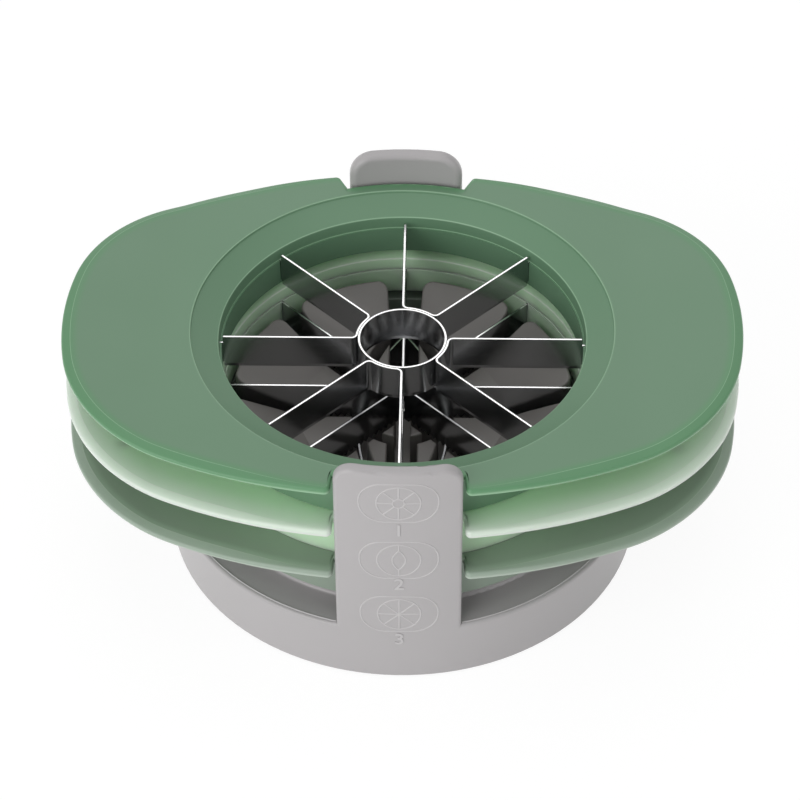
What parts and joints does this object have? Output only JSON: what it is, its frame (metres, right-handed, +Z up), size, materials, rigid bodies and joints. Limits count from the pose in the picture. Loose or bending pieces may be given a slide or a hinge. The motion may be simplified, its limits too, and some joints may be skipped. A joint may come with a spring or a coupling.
{
  "type": "stacking fruit cutter set",
  "caption": "Stack of winged hand cutters with a coring, a star and a lens-shaped blade, on a round base whose slotted pusher drives fruit through the blades.",
  "frame": {"origin": "middle of the footprint, on the table under the foot pads", "axes": "+Z up along the stack axis, +X along the hand wings, -Y towards the front tab, +Y towards the rear lug"},
  "size_m": [0.1912, 0.1376, 0.0814],
  "materials": {
    "top_cutter_plastic": "moulded ABS, muted green, satin",
    "middle_cutter_plastic": "moulded ABS, light mint green, semi-gloss",
    "bottom_cutter_plastic": "moulded ABS, grey green, satin",
    "base_plastic": "moulded ABS, warm light grey, satin",
    "pusher_plastic": "moulded ABS, warm mid grey, satin",
    "blade_steel": "rolled stainless strip, bright",
    "pad_rubber": "soft non-slip rubber"
  },
  "bodies": {
    "base": {"base_body": "base_plastic", "pusher": "pusher_plastic", "foot_pad_1": "pad_rubber", "foot_pad_2": "pad_rubber", "foot_pad_3": "pad_rubber", "foot_pad_4": "pad_rubber"},
    "splitter": {"splitter_frame": "bottom_cutter_plastic", "splitter_clamp_ring": "bottom_cutter_plastic", "splitter_blade_left": "blade_steel", "splitter_blade_right": "blade_steel"},
    "wedger": {"wedger_frame": "middle_cutter_plastic", "wedger_clamp_ring": "middle_cutter_plastic", "wedger_blade_1": "blade_steel", "wedger_blade_2": "blade_steel", "wedger_blade_3": "blade_steel", "wedger_blade_4": "blade_steel"},
    "corer": {"corer_frame": "top_cutter_plastic", "corer_clamp_ring": "top_cutter_plastic", "corer_core_ring": "blade_steel", "corer_blade_1": "blade_steel", "corer_blade_2": "blade_steel", "corer_blade_3": "blade_steel", "corer_blade_4": "blade_steel"}
  },
  "joints": [
    {"name": "splitter_lift", "type": "slide", "parent": "base", "child": "splitter", "axis": [0, 0, 1], "range_m": [0, 0.065]},
    {"name": "wedger_lift", "type": "slide", "parent": "splitter", "child": "wedger", "axis": [0, 0, 1], "range_m": [0, 0.05]},
    {"name": "corer_lift", "type": "slide", "parent": "wedger", "child": "corer", "axis": [0, 0, 1], "range_m": [0, 0.04]}
  ]
}
